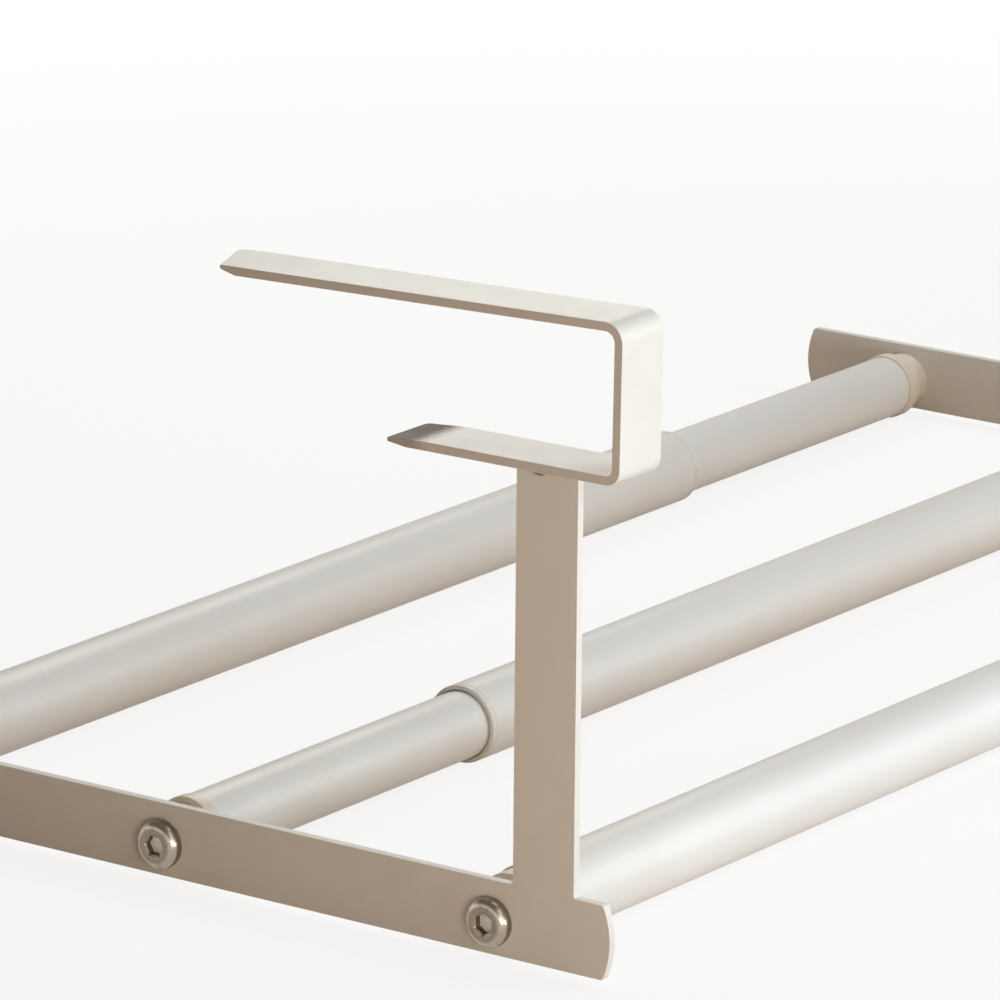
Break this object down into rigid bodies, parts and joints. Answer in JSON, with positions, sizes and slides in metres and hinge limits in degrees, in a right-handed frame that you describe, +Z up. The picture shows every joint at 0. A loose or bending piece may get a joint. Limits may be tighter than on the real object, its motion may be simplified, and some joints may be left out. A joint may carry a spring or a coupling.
{
  "type": "telescopic clip-on shoe rack",
  "caption": "Rack of telescoping bars between side frames, each with an open strap clip that slides onto a shelf board's front edge; shoes rest across the bars.",
  "frame": {"origin": "under the middle of the rack at its resting width, midway between its front and back, level with the undersides of the thick tubes", "axes": "+X along the bars to the right frame, +Y to the back, where the clips are open, +Z up"},
  "size_m": [0.5272, 0.2889, 0.1744],
  "materials": {
    "frame_coating": "satin powder coat",
    "tube_coating": "satin powder coat",
    "screw_steel": "satin",
    "nut_steel": "zinc plated",
    "plug_plastic": "smooth",
    "guide_plastic": "smooth"
  },
  "bodies": {
    "left_frame": {"left_side_plate": "frame_coating", "left_shelf_clip": "frame_coating", "left_clip_weld": "frame_coating", "left_nut_set": "nut_steel", "left_large_plug_set": "plug_plastic", "left_small_plug_set": "plug_plastic", "left_mouth_bush_set": "guide_plastic", "left_guide_sleeve_set": "guide_plastic", "left_front_screw": "screw_steel", "front_outer_tube": "tube_coating", "left_middle_screw": "screw_steel", "middle_inner_tube": "tube_coating", "left_rear_screw": "screw_steel", "rear_outer_tube": "tube_coating"},
    "right_frame": {"right_side_plate": "frame_coating", "right_shelf_clip": "frame_coating", "right_clip_weld": "frame_coating", "right_nut_set": "nut_steel", "right_large_plug_set": "plug_plastic", "right_small_plug_set": "plug_plastic", "right_mouth_bush_set": "guide_plastic", "right_guide_sleeve_set": "guide_plastic", "right_front_screw": "screw_steel", "front_inner_tube": "tube_coating", "right_middle_screw": "screw_steel", "middle_outer_tube": "tube_coating", "right_rear_screw": "screw_steel", "rear_inner_tube": "tube_coating"}
  },
  "joints": [
    {"name": "pull_out", "type": "slide", "parent": "left_frame", "child": "right_frame", "axis": [1, 0, 0], "range_m": [-0.1182, 0.147]}
  ]
}
